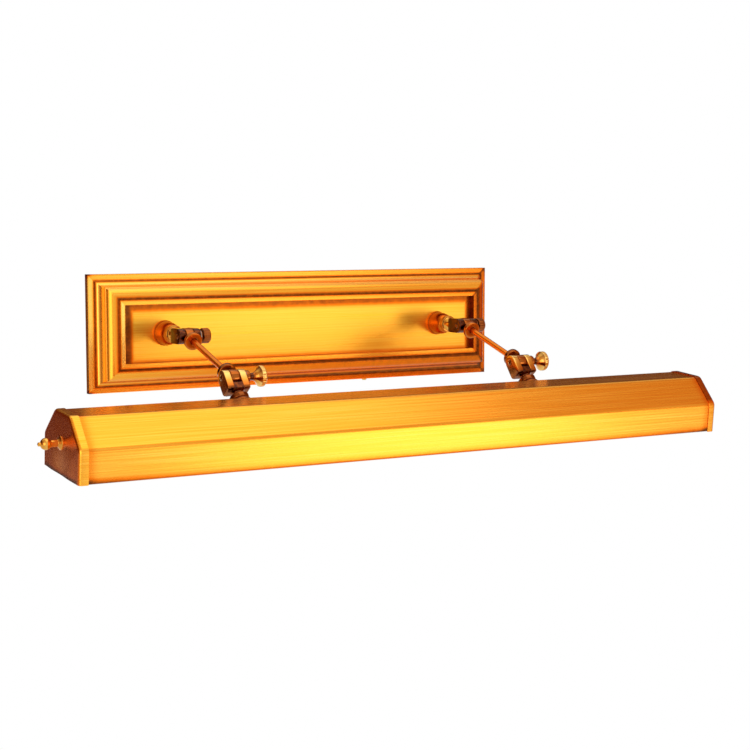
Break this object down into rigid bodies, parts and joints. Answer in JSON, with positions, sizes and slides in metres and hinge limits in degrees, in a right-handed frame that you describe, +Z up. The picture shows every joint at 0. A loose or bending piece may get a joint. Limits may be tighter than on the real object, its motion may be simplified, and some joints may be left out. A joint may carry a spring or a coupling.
{
  "type": "wall picture light",
  "caption": "Wall picture light with a moulded rectangular brass plate, jointed arms with clamp knobs and a long folded shade over tubular lamps.",
  "frame": {"origin": "centre of the wall plate's back, on the wall, midway between the two wall screws", "axes": "+X along the wall to the right as seen from the room, +Y into the wall, +Z up"},
  "size_m": [0.773, 0.2861, 0.1738],
  "materials": {
    "satin_brass": "satin, lacquered, antiqued darker in the grooves",
    "polished_brass": "polished, aged",
    "turned_brass": "turned, bare",
    "zinc_steel": "zinc plated",
    "black_rubber": "matt",
    "cream_plastic": "moulded",
    "brown_sheath": "smooth sheath",
    "pale_sheath": "smooth sheath",
    "white_aluminium": "white enamel",
    "black_bakelite": "moulded, glossy",
    "frosted_glass": "frosted inside"
  },
  "bodies": {
    "wall_plate": {"plate_moulding": "satin_brass", "plate_panel": "satin_brass", "panel_screws": "zinc_steel", "hanging_rail": "zinc_steel", "wall_bracket": "zinc_steel", "plate_fixing_screws": "turned_brass", "cable_grommet": "black_rubber", "terminal_block": "cream_plastic", "terminal_screws": "turned_brass", "earth_screw": "turned_brass", "left_wall_lead": "brown_sheath", "right_wall_lead": "brown_sheath", "left_wall_rose": "satin_brass", "right_wall_rose": "satin_brass", "left_wall_stem": "polished_brass", "right_wall_stem": "polished_brass", "wall_stem_washers": "zinc_steel", "wall_stem_nuts": "turned_brass", "wall_pivot_washers": "zinc_steel"},
    "left_arm": {"left_arm_rod": "satin_brass", "left_arm_upper_eye": "polished_brass", "left_arm_lower_eye": "polished_brass"},
    "right_arm": {"right_arm_rod": "satin_brass", "right_arm_upper_eye": "polished_brass", "right_arm_lower_eye": "polished_brass"},
    "shade": {"shade_body": "satin_brass", "left_end_cap": "satin_brass", "right_end_cap": "satin_brass", "left_end_bracket": "zinc_steel", "right_end_bracket": "zinc_steel", "end_bracket_nuts": "zinc_steel", "reflector": "white_aluminium", "left_shade_rose": "satin_brass", "right_shade_rose": "satin_brass", "left_shade_stem": "polished_brass", "right_shade_stem": "polished_brass", "shade_stem_washers": "zinc_steel", "shade_stem_nuts": "turned_brass", "shade_pivot_washers": "zinc_steel", "left_lamp_bracket": "zinc_steel", "right_lamp_bracket": "zinc_steel", "lampholder_nipples": "turned_brass", "lampholder_1": "black_bakelite", "lampholder_2": "black_bakelite", "lampholder_3": "black_bakelite", "lampholder_4": "black_bakelite", "lamp_1": "frosted_glass", "lamp_2": "frosted_glass", "lamp_3": "frosted_glass", "lamp_4": "frosted_glass", "lamp_caps": "turned_brass", "left_shade_lead": "pale_sheath", "right_shade_lead": "pale_sheath"},
    "left_wall_knob": {"left_wall_knob": "polished_brass"},
    "right_wall_knob": {"right_wall_knob": "polished_brass"},
    "left_shade_knob": {"left_shade_knob": "polished_brass"},
    "right_shade_knob": {"right_shade_knob": "polished_brass"},
    "left_end_knob": {"left_end_knob": "polished_brass"},
    "right_end_knob": {"right_end_knob": "polished_brass"}
  },
  "joints": [
    {"name": "left_arm_swing", "type": "hinge", "parent": "wall_plate", "child": "left_arm", "pos_m": [-0.171, -0.083, 0], "axis": [-1, 0, 0], "range_deg": [-45, 60]},
    {"name": "right_arm_swing", "type": "hinge", "parent": "wall_plate", "child": "right_arm", "pos_m": [0.171, -0.083, 0], "axis": [-1, 0, 0], "range_deg": [-45, 60]},
    {"name": "shade_tilt", "type": "hinge", "parent": "left_arm", "child": "shade", "pos_m": [-0.171, -0.18762, -0.03399], "axis": [1, 0, 0], "range_deg": [-45, 50]},
    {"name": "left_wall_knob_turn", "type": "hinge", "parent": "wall_plate", "child": "left_wall_knob", "pos_m": [-0.171, -0.083, 0], "axis": [1, 0, 0], "range_deg": [0, 270]},
    {"name": "right_wall_knob_turn", "type": "hinge", "parent": "wall_plate", "child": "right_wall_knob", "pos_m": [0.171, -0.083, 0], "axis": [1, 0, 0], "range_deg": [0, 270]},
    {"name": "left_shade_knob_turn", "type": "hinge", "parent": "shade", "child": "left_shade_knob", "pos_m": [-0.171, -0.18762, -0.03399], "axis": [1, 0, 0], "range_deg": [0, 270]},
    {"name": "right_shade_knob_turn", "type": "hinge", "parent": "shade", "child": "right_shade_knob", "pos_m": [0.171, -0.18762, -0.03399], "axis": [1, 0, 0], "range_deg": [0, 270]},
    {"name": "left_end_knob_turn", "type": "hinge", "parent": "shade", "child": "left_end_knob", "pos_m": [-0.3645, -0.24021, -0.07835], "axis": [-1, 0, 0], "range_deg": [0, 720]},
    {"name": "right_end_knob_turn", "type": "hinge", "parent": "shade", "child": "right_end_knob", "pos_m": [0.3645, -0.24021, -0.07835], "axis": [1, 0, 0], "range_deg": [0, 720]}
  ],
  "couplings": [
    {"joint": "right_arm_swing", "follows": "left_arm_swing", "ratio": 1}
  ]
}
